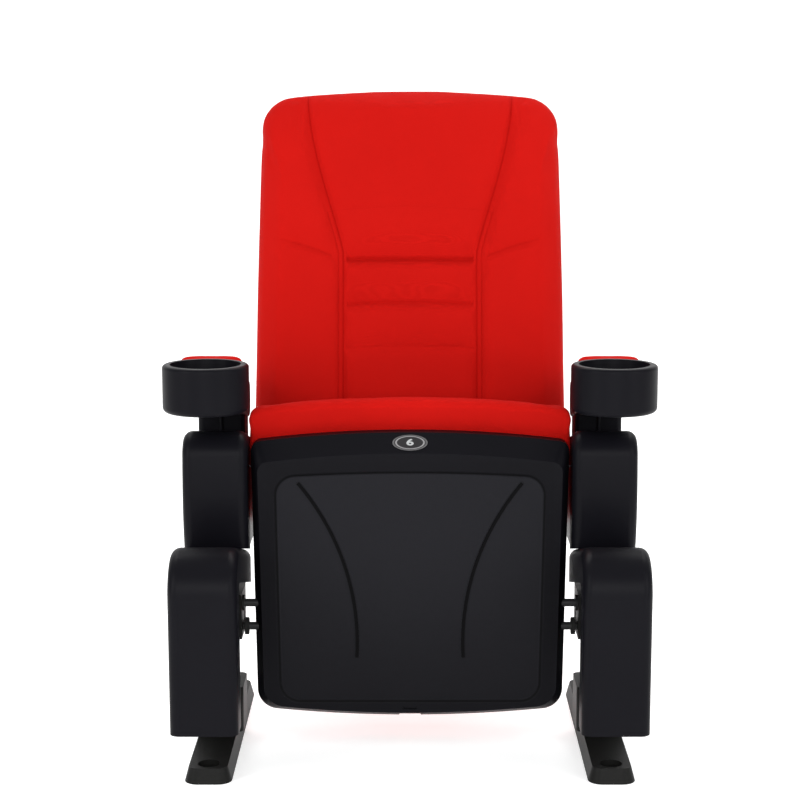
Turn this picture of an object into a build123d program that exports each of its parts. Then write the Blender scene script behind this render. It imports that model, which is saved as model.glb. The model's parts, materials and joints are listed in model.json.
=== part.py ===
from build123d import *
import os
from math import atan, cos, degrees, radians, sin, tan

os.makedirs("parts", exist_ok=True)

# Millimetres. +Z is up, the sitter faces -Y, and the origin is on the floor.

# Allowances used throughout
overcut = 1
edge_tolerance = 0.1

# Side standards
standard_spacing = 580
cover_width = 97
lower_web_width = 44
upper_web_width = 91
cover_wall = 3
band_depth = 50
band_inner_radius = 10
cover_edge_radius = 14
lower_front_y = -332.5
lower_lean = 4
lower_bottom_z = 84
web_bottom_z = 96
lower_top_z = 342
lower_top_slope = 14
lower_crown_radius = 60
lower_band_rear_y = -75
web_rear_low_y = -38
web_rear_low_z = 210
web_rear_mid_y = 12
upper_front_y = -130
upper_front_set_back = 11
upper_belly_z = 385
upper_top_z = 483
upper_crown_radius = 36
upper_crown_set_back = 4
upper_top_slope = 14
upper_rear_y = 75

# Steel uprights and feet
column_depth = 60
column_width = 35
column_wall = 3
column_foot_y = -82
column_head_y = 30
column_bend_low_z = 250
column_bend_high_z = 420
column_bend_shift = 10
column_cap = 6
foot_front_y = -291
foot_rear_y = 150
foot_width = 68
foot_height = 22
foot_taper = 15
foot_corner_radius = 20
socket_width = 76
socket_depth = 82
socket_radius = 10
socket_top_z = 91
socket_clearance = 0.3
floor_hole_radius = 6.5
floor_bore_radius = 16
floor_bore_depth = 9
floor_hole_inset = 28

# Armrests
arm_slope = 13
arm_neck_z = 489
arm_thickness = 64
arm_front_half = 47
arm_rear_half = 36
arm_front_y = -185
arm_rear_y = 108
arm_end_radius = 24
arm_edge_radius = 8
neck_width = 72
neck_front_y = -3
neck_depth = 68
neck_corner_radius = 8
bead_radius = 3
cup_y = -222
cup_radius = 61.5
cup_bottom_z = 530
cup_top_z = 598
cup_mouth_radius = 50.5
cup_floor_radius = 46
cup_floor = 11
cup_bottom_round = 8
cup_rim_round = 5
cup_gap = 0.3
pad_thickness = 16
pad_side_inset = 1
pad_corner_radius = 12
pad_front_y = -152
pad_end_inset = 10
pad_edge_radius = 9
soft_gap = 0.3

# Seat, shown folded up
pivot_y = -102
pivot_z = 218
stop_radius = 36
seat_swing = 75
pan_y = -120
pan_depth = 47
pan_side_gap = 52
pan_taper = 7
pan_top_z = 478
pan_bottom_z = 41
pan_top_sag = 15
pan_bottom_sag = 13
pan_top_corner = 16
pan_bottom_corner = 32
pan_wall = 3
pan_floor = 6
bevel_depth = 22
bevel_front = 28
bevel_side = 11
bevel_rear = 10
panel_depth = 3
panel_draft = 65
panel_top_z = 424
panel_top_sag = 7
panel_bottom_z = 66
panel_inset = 34
panel_taper = 6
panel_corner = 33
crease_width = 5
crease_height = 1.5
crease_top = (167, 405)
crease_middle = (106, 302)
crease_bottom = (80, 137)
notch_width = 32
notch_height = 6
slot_width = 22
slot_height = 5
slot_above_notch = 18
board_thickness = 12
board_gap = 1
post_radius = 8
post_inset = 88
post_z = (110, 400)
cushion_thickness = 85
cushion_front_reach = 46
cushion_side_reach = 2
cushion_base_inset = 4
cushion_top_inset = 15
cushion_swell_share = 0.42
cushion_rear_inset = 22
seat_crown_radius = 1500
plate_length = 52
plate_height = 26
plate_thickness = 2
plate_pocket = 1

# Seat hinge
rod_radius = 6
rod_clearance = 0.1
slide_clearance = 0.4
hole_clearance = 1
press_clearance = 0.05
bracket_reach = 38
bracket_sheet = 4
bracket_front_y = -128
bracket_depth = 78
bracket_bottom_z = 168
bracket_top_z = 236
bracket_foot = 22
bush_radius = 9
bush_flange_radius = 12
bush_flange = 3
washer_radius = 13
washer_thickness = 6
washer_gap = 3
nut_width = 18
nut_thickness = 8
nut_gap = 1
rod_end_past_nut = 1
rod_head_radius = 10
rod_head = 7
hinge_plate_inset = 24
hinge_plate_sheet = 5
hinge_plate_bottom_z = 150
hinge_plate_top_z = 262
hinge_foot = 42
hinge_foot_sheet = 4
hinge_screw_inset = 14
hinge_floor_gap = 2.5
spring_length = 30
spring_wire_radius = 1.2
spring_turns = 6
spring_play = 0.5
bolt_radius = 4
bolt_head_radius = 7
bolt_head = 5
bolt_grip = 8
screw_radius = 2.5
screw_head_radius = 5
screw_head = 2.5
screw_length = 10

# Back
back_angle = 12.5
back_front_y = 86.06
back_bottom_z = 300
back_length = 705
back_side_gap = 44
back_taper = 8
back_taper_length = 150
back_top_corner = 46
back_bottom_corner = 34
back_top_sag = 9
back_cushion_thickness = 65
back_base_inset = 5
back_top_inset = 13
back_swell_share = 0.42
back_crown_radius = 1500
seam_depth = 3
seam_width = 5
seam_top_x = 170
seam_low_x = 115
seam_bend = 437
seam_mid_x = 138
seam_mid = 560
channel_radius = 6
channel_sink = 2
channel_heights = (282, 353, 425)
shell_inset = 6
shell_depth = 36
shell_wall = 3
shell_round = 8
shell_rear_inset = 12
rail_sheet = 4
rail_width = 40
rail_depth = 20
rail_bottom = 30
rail_length = 300
rail_side_inset = 38
back_bolt_heights = (45, 105)
back_bolt_behind = 24
back_bolt_radius = 4
back_bolt_head_radius = 7
back_bolt_head = 6
back_nut = 8
spacer_radius = 9
bracket_sheet_back = 5
bracket_lobe_radius = 18
column_bolt_z = 350
column_bolt_y = (-28, 2)
window_gap = 1

pan_front_half = standard_spacing / 2 - pan_side_gap
pan_rear_half = pan_front_half - pan_taper
panel_half_top = pan_front_half - panel_inset
panel_half_bottom = panel_half_top - panel_taper
post_x = pan_front_half - post_inset
hinge_plate_x = pan_front_half - hinge_plate_inset
back_half = standard_spacing / 2 - back_side_gap
back_bottom_half = back_half - back_taper
rail_side_x = back_half - rail_side_inset
half_cover = cover_width / 2
half_lower_web = lower_web_width / 2
half_upper_web = upper_web_width / 2
half_column = column_width / 2
standards = {"left": -standard_spacing / 2, "right": standard_spacing / 2}


def save(part, name):
    part.label = name
    export_step(part, f"parts/{name}.step")


def side_plane(x):
    return Plane.YZ.offset(x)


def seat_plane(y):
    return Plane.XZ.offset(-y)


def inward_sign(x):
    return -1 if x > 0 else 1


def arm_underside(y):
    return arm_neck_z - (y - neck_front_y) * tan(radians(arm_slope))


def arm_joint(x):
    """The sloping plane where an upright meets its armrest."""
    slope = radians(arm_slope)
    return Plane(
        origin=(x, column_head_y, arm_underside(column_head_y)),
        x_dir=(1, 0, 0),
        z_dir=(0, sin(slope), cos(slope)),
    )


def arm_bolt_circles(plane, radius):
    with BuildSketch(plane) as circles:
        with GridLocations(0, column_depth / 2, 1, 2):
            Circle(radius)
    return circles.sketch


def ring(x, y, z, outer, inner, start, end):
    """A washer or tube along X, from start to end measured from x towards the seat."""
    sign = inward_sign(x)
    with BuildSketch(side_plane(x + sign * start)) as section:
        with Locations((y, z)):
            Circle(outer)
            Circle(inner, mode=Mode.SUBTRACT)
    extrude(section.sketch, amount=sign * (end - start))


def rod(x, y, z, radius, start, end, mode=Mode.ADD):
    """A round bar or hole along X, from start to end measured from x towards the seat."""
    sign = inward_sign(x)
    with BuildSketch(side_plane(x + sign * start)) as section:
        with Locations((y, z)):
            Circle(radius)
    extrude(section.sketch, amount=sign * (end - start), mode=mode)


# Feet: a tapered sole, a socket for the upright and two counterbored floor bolt holes
for side, x in standards.items():
    with BuildPart() as foot:
        with BuildSketch(Plane.XY):
            with Locations((x, (foot_front_y + foot_rear_y) / 2)):
                RectangleRounded(foot_width, foot_rear_y - foot_front_y, foot_corner_radius)
        extrude(amount=foot_height, taper=foot_taper)
        with BuildSketch(Plane.XY.offset(foot_height)):
            with Locations((x, column_foot_y)):
                RectangleRounded(socket_width, socket_depth, socket_radius)
                Rectangle(
                    column_width + 2 * socket_clearance,
                    column_depth + 2 * socket_clearance,
                    mode=Mode.SUBTRACT,
                )
        extrude(amount=socket_top_z - foot_height)
        with Locations(
            (x, foot_front_y + floor_hole_inset, foot_height),
            (x, foot_rear_y - floor_hole_inset, foot_height),
        ):
            CounterBoreHole(floor_hole_radius, floor_bore_radius, floor_bore_depth, foot_height)
    save(foot.part, f"foot_{side}")


# Uprights: a flat steel tube, bent back below the arm, capped where the arm is bolted on
def upright_outline(inset, bottom_z, cap):
    half = column_depth / 2 - inset
    foot_front, foot_rear = column_foot_y - half, column_foot_y + half
    head_front, head_rear = column_head_y - half, column_head_y + half
    low_front, low_rear = column_bend_low_z + column_bend_shift, column_bend_low_z - column_bend_shift
    high_front, high_rear = column_bend_high_z + column_bend_shift, column_bend_high_z - column_bend_shift
    with BuildLine() as outline:
        Polyline(
            (foot_front, bottom_z),
            (foot_front, low_front),
            (head_front, high_front),
            (head_front, arm_underside(head_front) - cap),
            (head_rear, arm_underside(head_rear) - cap),
            (head_rear, high_rear),
            (foot_rear, low_rear),
            (foot_rear, bottom_z),
            close=True,
        )
    make_face(outline.edges())


bracket_bolt_y = column_foot_y
bracket_bolt_z = (bracket_bottom_z - bracket_foot / 2, bracket_top_z + bracket_foot / 2)
for side, x in standards.items():
    with BuildPart() as upright:
        with BuildSketch(side_plane(x)):
            upright_outline(0, foot_height, 0)
        extrude(amount=half_column, both=True)
        with BuildSketch(side_plane(x)):
            upright_outline(column_wall, foot_height, column_cap)
        extrude(amount=half_column - column_wall, both=True, mode=Mode.SUBTRACT)
        for z in bracket_bolt_z:
            rod(x, bracket_bolt_y, z, bolt_radius + press_clearance, 0, half_column, Mode.SUBTRACT)
        for y in column_bolt_y:
            rod(x, y, column_bolt_z, bolt_radius + press_clearance, 0, half_column, Mode.SUBTRACT)
        holes = arm_bolt_circles(arm_joint(x), bolt_radius + press_clearance)
        extrude(holes, amount=2 * column_cap, both=True, mode=Mode.SUBTRACT)
    save(upright.part, f"upright_{side}")


# Lower covers: a broad band runs up the front and back over the top, with a slim web behind it
def lower_shoulder(y):
    """Height of the lower cover's top, which falls from the crown to the rear."""
    slope = radians(lower_top_slope)
    crown_z = lower_top_z - lower_crown_radius
    return crown_z + lower_crown_radius / cos(slope) - (y - lower_front_y - lower_crown_radius) * tan(slope)


cover_joint_z = lower_shoulder(lower_band_rear_y)


def lower_band(inset):
    front, rear, bottom = lower_front_y + inset, lower_band_rear_y - inset, lower_bottom_z + inset
    drop = inset / cos(radians(lower_top_slope))
    inner_drop = (band_depth - inset) / cos(radians(lower_top_slope))
    inner_front = front + band_depth - 2 * inset
    with BuildLine() as outline:
        rise = Line((front + lower_lean, bottom), (front, lower_top_z - lower_crown_radius))
        crown = JernArc(rise @ 1, (0, 1), lower_crown_radius - inset, -(90 + lower_top_slope))
        Polyline(
            crown @ 1,
            (rear, lower_shoulder(rear) - drop),
            (rear, lower_shoulder(rear) - inner_drop),
        )
        FilletPolyline(
            (rear, lower_shoulder(rear) - inner_drop),
            (inner_front, lower_shoulder(inner_front) - inner_drop),
            (inner_front + lower_lean, bottom),
            radius=band_inner_radius + inset,
        )
        Line((inner_front + lower_lean, bottom), rise @ 0)
    make_face(outline.edges())


def lower_web(inset, past):
    front = lower_front_y + band_depth - 2 * cover_wall + inset
    band_end = lower_band_rear_y - band_depth / 4
    drop = band_depth / 2 + inset
    with BuildLine() as outline:
        Polyline(
            (front, web_bottom_z - past),
            (front, lower_shoulder(front) - drop),
            (band_end, lower_shoulder(band_end) - drop),
            (band_end, cover_joint_z + past),
            (web_rear_mid_y - inset, cover_joint_z + past),
        )
        TangentArc(
            (web_rear_low_y - inset, web_rear_low_z),
            (web_rear_mid_y - inset, cover_joint_z + past),
            tangent=(0, 1),
        )
        Polyline(
            (web_rear_low_y - inset, web_rear_low_z),
            (web_rear_low_y - inset, web_bottom_z - past),
            (front, web_bottom_z - past),
        )
    make_face(outline.edges())


for side, x in standards.items():
    sign = inward_sign(x)
    with BuildPart() as lower_cover:
        with BuildSketch(side_plane(x)):
            lower_band(0)
        extrude(amount=half_cover, both=True)
        outer_edges = lower_cover.edges().filter_by(
            lambda e: abs(abs(e.center().X - x) - half_cover) < edge_tolerance
            and (
                e.center().Y < lower_front_y + band_depth / 2
                or e.center().Z > lower_shoulder(e.center().Y) - band_depth / 2
            )
            and e.center().Y < lower_band_rear_y - edge_tolerance
            and e.center().Z > lower_bottom_z + edge_tolerance
        )
        fillet(outer_edges, cover_edge_radius)
        with BuildSketch(side_plane(x)):
            lower_web(0, 0)
        extrude(amount=half_lower_web, both=True)
        with BuildSketch(side_plane(x)):
            lower_band(cover_wall)
        extrude(amount=half_cover - cover_edge_radius, both=True, mode=Mode.SUBTRACT)
        with BuildSketch(side_plane(x)):
            lower_web(cover_wall, overcut)
        extrude(amount=half_lower_web - cover_wall, both=True, mode=Mode.SUBTRACT)
        with BuildSketch(side_plane(x)):
            upright_outline(-socket_clearance, foot_height, 0)
        extrude(amount=half_column + socket_clearance, both=True, mode=Mode.SUBTRACT)
        with Locations(
            (
                x + sign * half_lower_web,
                bracket_front_y + bracket_depth / 2,
                (bracket_bottom_z + bracket_top_z) / 2,
            )
        ):
            Box(
                2 * (half_column + bracket_sheet + bolt_head + window_gap - half_lower_web),
                bracket_depth + 2 * window_gap,
                bracket_top_z - bracket_bottom_z + 2 * bracket_foot + 2 * window_gap,
                mode=Mode.SUBTRACT,
            )
    save(lower_cover.part, f"lower_cover_{side}")


# Upper covers: the same band set back, with a swelling front and a shoulder that falls to the rear
def upper_shoulder(y):
    crest_y = upper_front_y + upper_crown_set_back + upper_crown_radius
    return upper_top_z - (y - crest_y) * tan(radians(upper_top_slope))


def upper_band(inset):
    front, rear = upper_front_y + inset, upper_rear_y - inset
    foot_front = front + upper_front_set_back
    lift = inset / cos(radians(lower_top_slope))
    crown = upper_crown_radius - inset
    crown_z = upper_top_z - upper_crown_radius
    lean = 2 * degrees(atan(upper_crown_set_back / (crown_z - upper_belly_z)))
    fall = tan(radians(upper_top_slope))
    inner_front = front + band_depth - 2 * inset
    with BuildLine() as outline:
        TangentArc(
            (front, upper_belly_z),
            (foot_front, lower_shoulder(foot_front) + lift),
            tangent=(0, -1),
        )
        swell = TangentArc(
            (front, upper_belly_z),
            (front + upper_crown_set_back, crown_z),
            tangent=(0, 1),
        )
        crest = JernArc(swell @ 1, swell % 1, crown, -(90 + upper_top_slope - lean))
        rear_z = (crest @ 1).Y - (rear - (crest @ 1).X) * fall
        drop = (band_depth - 2 * inset) / cos(radians(upper_top_slope))
        inner_z = rear_z - drop + (rear - inner_front) * fall
        Polyline(
            crest @ 1,
            (rear, rear_z),
            (rear, rear_z - drop),
            (inner_front, inner_z),
            (inner_front, lower_shoulder(inner_front) + lift),
            (foot_front, lower_shoulder(foot_front) + lift),
        )
    make_face(outline.edges())


def upper_web(inset, past):
    front = upper_front_y + band_depth - 2 * cover_wall + inset
    rear = upper_rear_y - inset
    drop = band_depth / 2 + inset
    with BuildLine() as outline:
        Polyline(
            (lower_band_rear_y, cover_joint_z - past),
            (front, lower_shoulder(front) - past),
            (front, upper_shoulder(front) - drop),
            (rear, upper_shoulder(rear) - drop),
            (rear, upper_shoulder(rear) - band_depth),
        )
        TangentArc(
            (rear, upper_shoulder(rear) - band_depth),
            (web_rear_mid_y - inset, cover_joint_z - past),
            tangent=(0, -1),
        )
        Line((web_rear_mid_y - inset, cover_joint_z - past), (lower_band_rear_y, cover_joint_z - past))
    make_face(outline.edges())


back_bolts_yz = []
lean_back = radians(back_angle)
back_origin = Vector(
    0,
    back_front_y + back_cushion_thickness * cos(lean_back),
    back_bottom_z - back_cushion_thickness * sin(lean_back),
)
back_plane = Plane(origin=back_origin, x_dir=(1, 0, 0), z_dir=(0, -cos(lean_back), sin(lean_back)))
for height in back_bolt_heights:
    place = back_plane.from_local_coords(Vector(0, height, -back_bolt_behind))
    back_bolts_yz.append((place.Y, place.Z))
column_bolts_yz = [(y, column_bolt_z) for y in column_bolt_y]


def back_bracket_outline(grow):
    with Locations(*column_bolts_yz, *back_bolts_yz):
        Circle(bracket_lobe_radius + grow)
    make_hull()


for side, x in standards.items():
    sign = inward_sign(x)
    with BuildPart() as upper_cover:
        with BuildSketch(side_plane(x)):
            upper_band(0)
        extrude(amount=half_cover, both=True)
        outer_edges = upper_cover.edges().filter_by(
            lambda e: abs(abs(e.center().X - x) - half_cover) < edge_tolerance
            and (
                e.center().Y < upper_front_y + band_depth / 2
                or e.center().Z > upper_shoulder(e.center().Y) - band_depth / 2
            )
            and e.center().Y < upper_rear_y - edge_tolerance
            and e.center().Z > lower_shoulder(e.center().Y) + edge_tolerance
        )
        fillet(outer_edges, cover_edge_radius)
        with BuildSketch(side_plane(x)):
            upper_web(0, 0)
        extrude(amount=half_upper_web, both=True)
        with BuildSketch(side_plane(x)):
            upper_band(cover_wall)
        extrude(amount=half_cover - cover_edge_radius, both=True, mode=Mode.SUBTRACT)
        with BuildSketch(side_plane(x)):
            upper_web(cover_wall, overcut)
        extrude(amount=half_upper_web - cover_wall, both=True, mode=Mode.SUBTRACT)
        with BuildSketch(side_plane(x)):
            upright_outline(-socket_clearance, foot_height, 0)
        extrude(amount=half_column + socket_clearance, both=True, mode=Mode.SUBTRACT)
        with BuildSketch(side_plane(x + sign * half_column)):
            back_bracket_outline(window_gap)
        extrude(amount=sign * (bracket_sheet_back + window_gap), mode=Mode.SUBTRACT)
    save(upper_cover.part, f"upper_cover_{side}")


# Necks: short collars between the shoulder and the armrest, each with a bead down its front
for side, x in standards.items():
    with BuildPart() as neck:
        neck_rear_y = neck_front_y + neck_depth
        with BuildSketch(side_plane(x)):
            with BuildLine():
                Polyline(
                    (neck_front_y, upper_shoulder(neck_front_y)),
                    (neck_front_y, arm_underside(neck_front_y)),
                    (neck_rear_y, arm_underside(neck_rear_y)),
                    (neck_rear_y, upper_shoulder(neck_rear_y)),
                    close=True,
                )
            make_face()
        extrude(amount=neck_width / 2, both=True)
        fillet(neck.edges().filter_by(Axis.Z), neck_corner_radius)
        bead_bottom = upper_shoulder(neck_front_y) + bead_radius
        bead_top = arm_underside(neck_front_y) - bead_radius
        with Locations((x, neck_front_y, (bead_bottom + bead_top) / 2)):
            Cylinder(bead_radius, bead_top - bead_bottom)
        with BuildSketch(side_plane(x)):
            upright_outline(-socket_clearance, foot_height, -overcut)
        extrude(amount=half_column + socket_clearance, both=True, mode=Mode.SUBTRACT)
    save(neck.part, f"neck_{side}")


# Armrests: a sloping body, hollowed in front where the cup holder stands against it
def arm_outline(bottom, top, front, rear):
    with BuildLine() as outline:
        Polyline(
            (front, arm_underside(front) + bottom),
            (front, arm_underside(front) + top),
            (rear, arm_underside(rear) + top),
            (rear, arm_underside(rear) + bottom),
            close=True,
        )
    make_face(outline.edges())


def arm_plan(x, front, rear, inset):
    """The armrest seen from above, narrowing to the rear."""
    taper = (arm_front_half - arm_rear_half) / (arm_rear_y - arm_front_y)
    half_front = arm_front_half - (front - arm_front_y) * taper - inset
    half_rear = arm_front_half - (rear - arm_front_y) * taper - inset
    with BuildLine() as outline:
        Polyline(
            (x - half_front, front),
            (x + half_front, front),
            (x + half_rear, rear),
            (x - half_rear, rear),
            close=True,
        )
    make_face(outline.edges())


arm_bolt_seat = (arm_thickness - pad_thickness) * cos(radians(arm_slope))
arm_bolt_grip = column_cap * cos(radians(arm_slope))
with BuildPart() as arm_bolts:
    for x in standards.values():
        shanks = arm_bolt_circles(arm_joint(x).offset(-arm_bolt_grip), bolt_radius)
        extrude(shanks, amount=arm_bolt_seat + arm_bolt_grip)
        heads = arm_bolt_circles(arm_joint(x).offset(arm_bolt_seat), bolt_head_radius)
        extrude(heads, amount=bolt_head)
save(arm_bolts.part, "arm_bolts")

for side, x in standards.items():
    with BuildPart() as armrest:
        with BuildSketch(side_plane(x)):
            arm_outline(0, arm_thickness, arm_front_y, arm_rear_y)
        extrude(amount=arm_front_half, both=True)
        fillet(armrest.edges().filter_by(Axis.X).group_by(Axis.Y)[-1], arm_end_radius)
        with BuildSketch(Plane.XY):
            arm_plan(x, arm_front_y, arm_rear_y, 0)
        extrude(amount=2 * arm_neck_z, mode=Mode.INTERSECT)
        flanks = armrest.faces().sort_by(Axis.X)
        rims = (flanks[0].edges() + flanks[-1].edges()).filter_by(
            lambda e: e.center().Y > arm_front_y + edge_tolerance
        )
        fillet(rims, arm_edge_radius)
        with BuildSketch(Plane.XY.offset(arm_underside(arm_front_y) + arm_thickness + overcut)):
            with Locations((x, cup_y)):
                Circle(cup_radius + cup_gap)
        extrude(amount=-2 * arm_thickness, mode=Mode.SUBTRACT)
        holes = arm_bolt_circles(arm_joint(x), bolt_radius + press_clearance)
        extrude(holes, amount=arm_thickness, mode=Mode.SUBTRACT)
        wells = arm_bolt_circles(arm_joint(x).offset(arm_bolt_seat), bolt_head_radius + press_clearance)
        extrude(wells, amount=arm_thickness, mode=Mode.SUBTRACT)
    save(armrest.part, f"armrest_{side}")

    with BuildPart() as cup_holder:
        cup_plane = Plane(origin=(x, cup_y, 0), x_dir=(1, 0, 0), z_dir=(0, -1, 0))
        with BuildSketch(cup_plane):
            with BuildLine():
                Line((0, cup_bottom_z), (cup_radius - cup_bottom_round, cup_bottom_z))
                TangentArc(
                    (cup_radius - cup_bottom_round, cup_bottom_z),
                    (cup_radius, cup_bottom_z + cup_bottom_round),
                    tangent=(1, 0),
                )
                Line((cup_radius, cup_bottom_z + cup_bottom_round), (cup_radius, cup_top_z - cup_rim_round))
                TangentArc(
                    (cup_radius, cup_top_z - cup_rim_round),
                    (cup_radius - cup_rim_round, cup_top_z),
                    tangent=(0, 1),
                )
                Polyline(
                    (cup_radius - cup_rim_round, cup_top_z),
                    (cup_mouth_radius, cup_top_z),
                    (cup_floor_radius, cup_bottom_z + cup_floor),
                    (0, cup_bottom_z + cup_floor),
                    (0, cup_bottom_z),
                )
            make_face()
        revolve(axis=Axis((x, cup_y, 0), (0, 0, 1)))
    save(cup_holder.part, f"cup_holder_{side}")

    with BuildPart() as arm_pad:
        with BuildSketch(side_plane(x)):
            arm_outline(
                arm_thickness + soft_gap,
                arm_thickness + pad_thickness,
                pad_front_y,
                arm_rear_y - pad_end_inset,
            )
        extrude(amount=arm_front_half, both=True)
        with BuildSketch(Plane.XY) as pad_plan:
            arm_plan(x, pad_front_y, arm_rear_y - pad_end_inset, pad_side_inset)
            fillet(pad_plan.vertices(), pad_corner_radius)
        extrude(amount=2 * arm_neck_z, mode=Mode.INTERSECT)
        tops = arm_pad.faces().filter_by(lambda f: f.normal_at().Z > edge_tolerance)
        fillet(tops.edges(), pad_edge_radius)
    save(arm_pad.part, f"arm_pad_{side}")


# Seat pan: a shallow tray with a rolled edge, a sunk panel and two curved creases underneath
def seat_outline(sketch, front, side_inset, rear, corner_inset):
    half_front, half_rear = pan_front_half - side_inset, pan_rear_half - side_inset
    top, bottom = pan_top_z - front, pan_bottom_z + rear
    with BuildLine() as outline:
        top_corner_z, bottom_corner_z = top - pan_top_sag, bottom + pan_bottom_sag
        ThreePointArc((-half_front, top_corner_z), (0, top), (half_front, top_corner_z))
        Line((half_front, top_corner_z), (half_rear, bottom_corner_z))
        ThreePointArc((half_rear, bottom_corner_z), (0, bottom), (-half_rear, bottom_corner_z))
        Line((-half_rear, bottom_corner_z), (-half_front, top_corner_z))
    make_face(outline.edges())
    fillet(sketch.vertices().group_by(Axis.Y)[-1], pan_top_corner - corner_inset)
    fillet(sketch.vertices().group_by(Axis.Y)[0], pan_bottom_corner - corner_inset)


pan_rim_y = pan_y + pan_depth
bevel_y = pan_y + bevel_depth
board_y = pan_rim_y - board_thickness
plate_reach = standard_spacing / 2 - hinge_plate_x
plate_plane = Plane(
    origin=(0, (pan_y + bevel_y) / 2, pan_top_z - bevel_front / 2),
    x_dir=(1, 0, 0),
    z_dir=(0, -bevel_front, bevel_depth),
)
with BuildPart() as seat_pan:
    with BuildSketch(seat_plane(pan_rim_y)) as rim:
        seat_outline(rim, 0, 0, 0, 0)
    extrude(amount=pan_rim_y - bevel_y)
    with BuildSketch(seat_plane(bevel_y)) as bevel_start:
        seat_outline(bevel_start, 0, 0, 0, 0)
    with BuildSketch(seat_plane(pan_y)) as bevel_end:
        seat_outline(bevel_end, bevel_front, bevel_side, bevel_rear, 0)
    loft(ruled=True)
    with BuildSketch(seat_plane(pan_rim_y)) as mouth:
        seat_outline(mouth, pan_wall, pan_wall, pan_wall, pan_wall)
    extrude(amount=pan_rim_y - bevel_y, mode=Mode.SUBTRACT)
    with BuildSketch(seat_plane(bevel_y)) as hollow_start:
        seat_outline(hollow_start, pan_wall, pan_wall, pan_wall, pan_wall)
    with BuildSketch(seat_plane(pan_y + pan_floor)) as hollow_end:
        seat_outline(hollow_end, bevel_front, bevel_side, bevel_rear, pan_wall)
    loft(ruled=True, mode=Mode.SUBTRACT)
    with BuildSketch(seat_plane(pan_y)) as panel:
        with BuildLine():
            panel_shoulder = panel_top_z - panel_top_sag
            arch = ThreePointArc(
                (-panel_half_top, panel_shoulder), (0, panel_top_z), (panel_half_top, panel_shoulder)
            )
            Polyline(
                arch @ 1,
                (panel_half_bottom, panel_bottom_z),
                (-panel_half_bottom, panel_bottom_z),
                arch @ 0,
            )
        make_face()
        fillet(panel.vertices(), panel_corner)
    extrude(amount=-panel_depth, taper=panel_draft, mode=Mode.SUBTRACT)
    for hand in (-1, 1):
        with BuildSketch(seat_plane(pan_y + panel_depth)):
            with BuildLine() as crease:
                ThreePointArc(
                    (hand * crease_top[0], crease_top[1]),
                    (hand * crease_middle[0], crease_middle[1]),
                    (hand * crease_bottom[0], crease_bottom[1]),
                )
            trace(line_width=crease_width)
        extrude(amount=crease_height, both=True)
    with BuildSketch(seat_plane(pan_y + pan_floor)):
        with Locations(*[(hand * post_x, z) for hand in (-1, 1) for z in post_z]):
            Circle(post_radius)
    extrude(amount=-(board_y - pan_y - pan_floor))
    with BuildSketch(seat_plane(pan_y)):
        with Locations((0, pan_bottom_z)):
            Rectangle(notch_width, 2 * notch_height)
    extrude(amount=-pan_depth, mode=Mode.SUBTRACT)
    with BuildSketch(seat_plane(pan_y)):
        with Locations((0, pan_bottom_z + slot_above_notch)):
            SlotOverall(slot_width, slot_height)
    extrude(amount=-panel_depth, mode=Mode.SUBTRACT)
    with BuildSketch(plate_plane.offset(-plate_pocket)):
        Ellipse(plate_length / 2 + press_clearance, plate_height / 2 + press_clearance)
    extrude(amount=bevel_depth, mode=Mode.SUBTRACT)
    for x in standards.values():
        for z in (pivot_z, pivot_z - stop_radius):
            rod(x, pivot_y, z, rod_radius + hole_clearance, bracket_reach, plate_reach, Mode.SUBTRACT)
save(seat_pan.part, "seat_pan")

with BuildPart() as number_plate:
    with BuildSketch(plate_plane.offset(-plate_pocket)):
        Ellipse(plate_length / 2, plate_height / 2)
    extrude(amount=plate_thickness)
save(number_plate.part, "number_plate")

hinge_screw_z = (hinge_plate_bottom_z + hinge_screw_inset, hinge_plate_top_z - hinge_screw_inset)
hinge_screw_x = hinge_plate_x - hinge_foot / 2
hinge_screws_at = [(hand * hinge_screw_x, z) for hand in (-1, 1) for z in hinge_screw_z]
with BuildPart() as seat_board:
    board_inset = pan_wall + board_gap
    with BuildSketch(seat_plane(pan_rim_y)) as panel_board:
        seat_outline(panel_board, board_inset, board_inset, board_inset, board_inset)
    extrude(amount=board_thickness)
    with BuildSketch(seat_plane(board_y)):
        with Locations(*hinge_screws_at):
            Circle(screw_radius + press_clearance)
    extrude(amount=-(screw_length - hinge_foot_sheet), mode=Mode.SUBTRACT)
save(seat_board.part, "seat_board")

# Seat cushion: sides swell out and draw in again, and the sitting face is crowned
cushion_start = pan_rim_y + soft_gap
cushion_levels = (
    (cushion_start, cushion_base_inset),
    (pan_rim_y + cushion_thickness * cushion_swell_share, 0),
    (pan_rim_y + cushion_thickness, cushion_top_inset),
)
with BuildPart() as seat_cushion:
    for level, inset in cushion_levels:
        with BuildSketch(seat_plane(level)) as section_sketch:
            seat_outline(
                section_sketch,
                inset - cushion_front_reach,
                inset - cushion_side_reach,
                inset + cushion_rear_inset,
                0,
            )
    loft()
    crown_y = pan_rim_y + cushion_thickness - seat_crown_radius
    with Locations((0, crown_y, (pan_top_z + pan_bottom_z) / 2)):
        Cylinder(seat_crown_radius, 2 * pan_top_z, mode=Mode.INTERSECT)
    fillet(seat_cushion.faces().sort_by(Axis.Y)[-1].edges(), cushion_top_inset / 2)
save(seat_cushion.part, "seat_cushion")

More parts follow.
